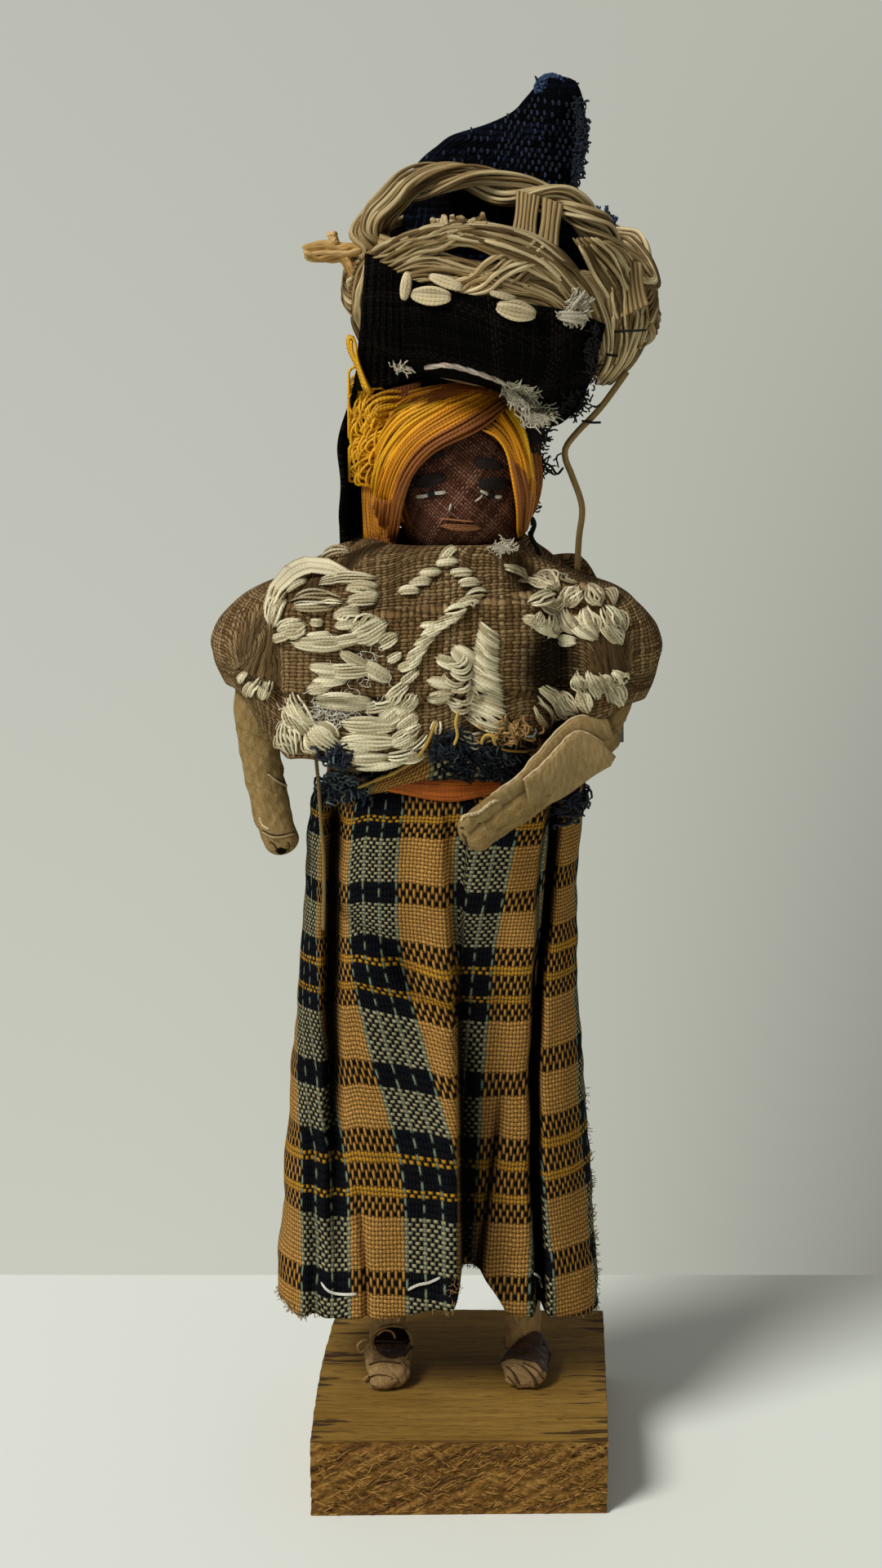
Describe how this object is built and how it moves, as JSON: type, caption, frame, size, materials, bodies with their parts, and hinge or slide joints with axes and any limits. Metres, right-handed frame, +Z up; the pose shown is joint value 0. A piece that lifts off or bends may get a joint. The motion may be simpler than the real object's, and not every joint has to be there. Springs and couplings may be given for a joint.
{
  "type": "cloth doll on a wooden block",
  "caption": "Standing cloth doll in a woven blouse and long plaid skirt, carrying a raffia basket of cloth on its head, on a rough-sawn wooden block.",
  "frame": {"origin": "centre of the wooden block's flat underside, where the doll rests", "axes": "+Z up, -Y out of the doll's face, +X towards the doll's own left, which is the right of the picture"},
  "size_m": [0.0724, 0.049, 0.2298],
  "materials": {
    "block_wood": "rough sawn, unfinished",
    "wire": "dull drawn wire",
    "wrap_paper": "matte crepe paper, wound in spirals",
    "brown_felt": "matte felt",
    "stuffing": "matte wadding",
    "plaid_cloth": "matte plain weave, plaid of tan, navy, black and yellow",
    "orange_floss": "satin floss",
    "brocade_cloth": "matte weave with raised ivory floats",
    "plum_knit": "matte knit",
    "dark_thread": "matte thread",
    "white_thread": "matte thread",
    "tan_thread": "matte thread",
    "gold_floss": "silky floss",
    "raffia": "dry split plant fibre, faint sheen",
    "navy_cloth": "matte weave, frayed edges",
    "black_cloth": "matte weave with white floats",
    "ivory_brocade": "matte raised brocade",
    "yellow_thread": "matte thread"
  },
  "bodies": {
    "doll": {"base_block": "block_wood", "leg_wire_right": "wire", "foot_right": "wrap_paper", "leg_right": "wrap_paper", "leg_wire_left": "wire", "foot_left": "wrap_paper", "leg_left": "wrap_paper", "instep_wrap_left": "brown_felt", "torso": "stuffing", "shoulder_wire": "wire", "neck_wire": "wire", "skirt": "plaid_cloth", "waist_sash": "orange_floss", "blouse": "brocade_cloth", "head_padding": "stuffing", "face_cloth": "plum_knit", "brow_right": "dark_thread", "brow_mark_right": "dark_thread", "brow_upper_left": "dark_thread", "brow_lower_left": "dark_thread", "eye_white_outer_right": "white_thread", "eye_pupil_right": "dark_thread", "eye_white_inner_right": "white_thread", "eye_white_inner_left": "white_thread", "eye_pupil_left": "dark_thread", "eye_white_outer_left": "white_thread", "eye_slant_left": "white_thread", "nose_stitch": "dark_thread", "mouth_bar": "tan_thread", "hair_cap": "gold_floss", "hair_swoop_right": "gold_floss", "hair_swoop_left": "gold_floss", "hair_tuft": "gold_floss", "basket_bowl": "raffia", "basket_rim": "raffia", "basket_slats_side": "raffia", "basket_slats_front": "raffia", "basket_bow": "raffia", "bundle_cloth": "navy_cloth", "headcloth_pad": "black_cloth", "headcloth": "black_cloth", "headcloth_lining": "ivory_brocade", "headcloth_drape": "black_cloth", "raffia_tie": "raffia", "waist_thread": "yellow_thread"},
    "right_arm": {"arm_right": "wrap_paper"},
    "left_upper_arm": {"upper_arm_left": "wrap_paper", "arm_wire_left": "wire"},
    "left_forearm": {"forearm_left": "wrap_paper", "wrap_flap_left": "wrap_paper"}
  },
  "joints": [
    {"name": "right_shoulder", "type": "hinge", "parent": "doll", "child": "right_arm", "pos_m": [-0.0328, -0.003, 0.1442], "axis": [-1, 0, 0], "range_deg": [-10, 18]},
    {"name": "left_shoulder", "type": "hinge", "parent": "doll", "child": "left_upper_arm", "pos_m": [0.0254, -0.003, 0.1442], "axis": [-1, 0, 0], "range_deg": [-2, 6]},
    {"name": "left_elbow", "type": "hinge", "parent": "left_upper_arm", "child": "left_forearm", "pos_m": [0.0254, -0.00813, 0.1301], "axis": [0, 0.342, 0.9397], "range_deg": [0, 35]}
  ]
}
